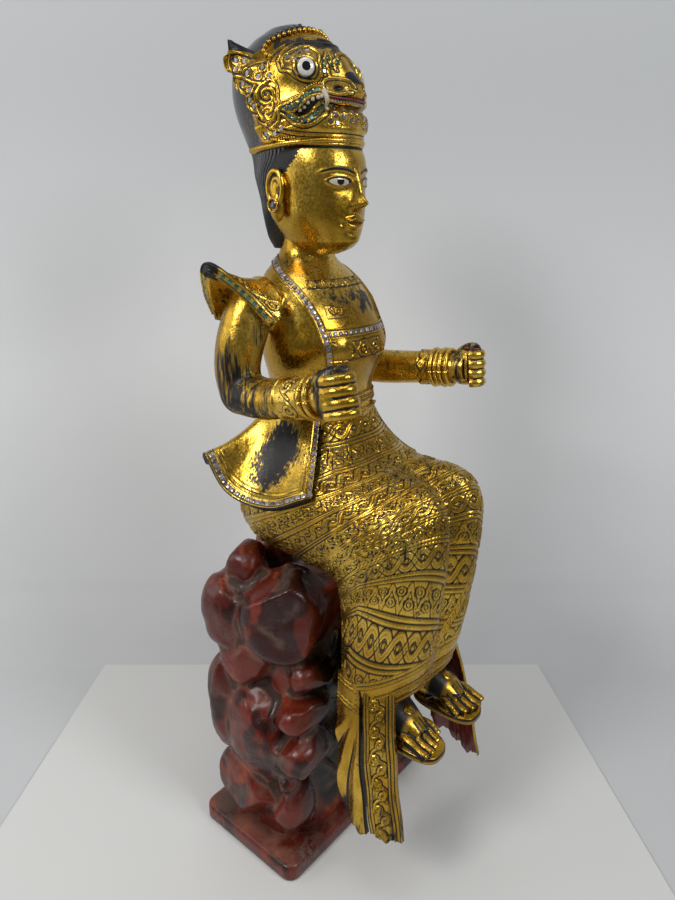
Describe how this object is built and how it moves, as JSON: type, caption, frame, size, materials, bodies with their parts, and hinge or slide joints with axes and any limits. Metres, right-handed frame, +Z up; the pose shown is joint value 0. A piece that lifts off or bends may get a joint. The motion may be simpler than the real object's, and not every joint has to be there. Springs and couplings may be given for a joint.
{
  "type": "nat statue",
  "caption": "Seated spirit figure in gilded wood, with a court jacket, patterned skirt and ogre-mask headdress, on a red lacquered rock with a small plinth.",
  "frame": {"origin": "centre of the plinth's underside", "axes": "+Z up, the figure faces -Y and her left side is +X"},
  "size_m": [0.249, 0.2693, 0.8],
  "materials": {
    "gilded_wood": "gold leaf over black lacquer, worn",
    "red_lacquered_wood": "glossy red lacquer, stained and dusty",
    "white_glass": "opaque white glass with a black pupil",
    "silvered_glass": "silvered grey glass"
  },
  "bodies": {
    "root": {"figure": "gilded_wood", "rock_pedestal": "red_lacquered_wood", "mask_eye_right": "white_glass", "mask_eye_left": "white_glass", "ear_stud_right": "silvered_glass", "ear_stud_left": "silvered_glass"}
  },
  "joints": []
}
